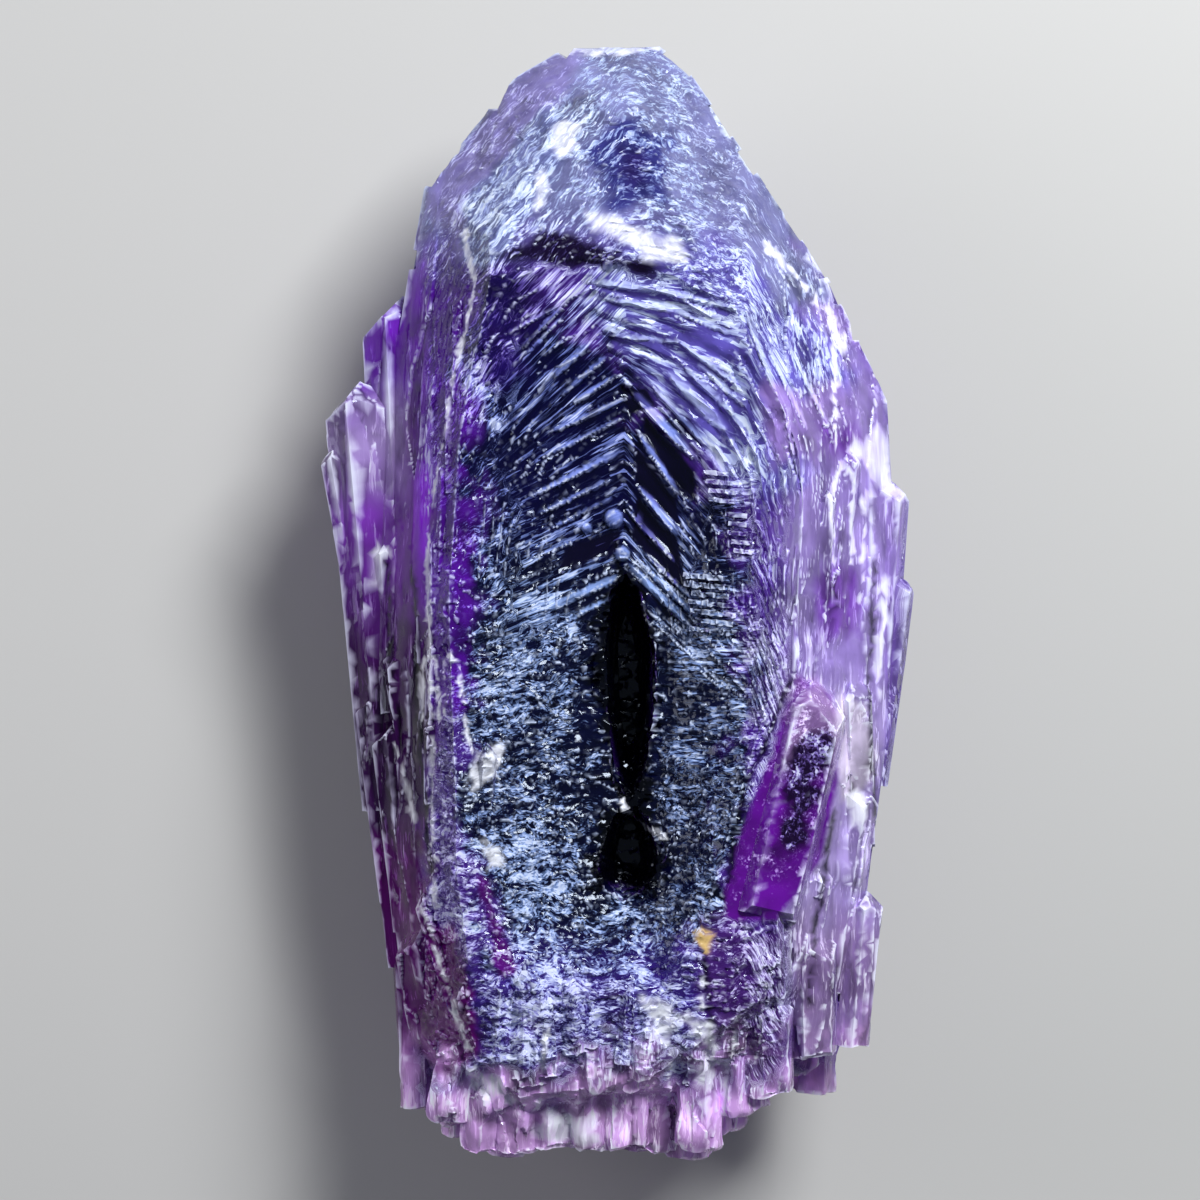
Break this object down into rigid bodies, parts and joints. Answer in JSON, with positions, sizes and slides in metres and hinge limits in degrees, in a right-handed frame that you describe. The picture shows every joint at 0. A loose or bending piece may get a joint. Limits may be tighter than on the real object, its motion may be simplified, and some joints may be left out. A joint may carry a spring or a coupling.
{
  "type": "amethyst crystal",
  "caption": "Natural purple quartz crystal with a stepped, hollowed front face, smaller crystals along its sides and a broken foot, lying on its flat back.",
  "frame": {"origin": "on the rest plane, under the middle of the bounding box", "axes": "+Y runs from the broken foot to the tip, +Z out of the stepped front face, and +X to the right of someone who faces it with the tip up"},
  "size_m": [0.0492, 0.0922, 0.0254],
  "materials": {
    "amethyst": "glassy where it is smooth, etched and frosted on the stepped face, purple right through"
  },
  "bodies": {
    "root": {"amethyst_crystal": "amethyst"}
  },
  "joints": []
}
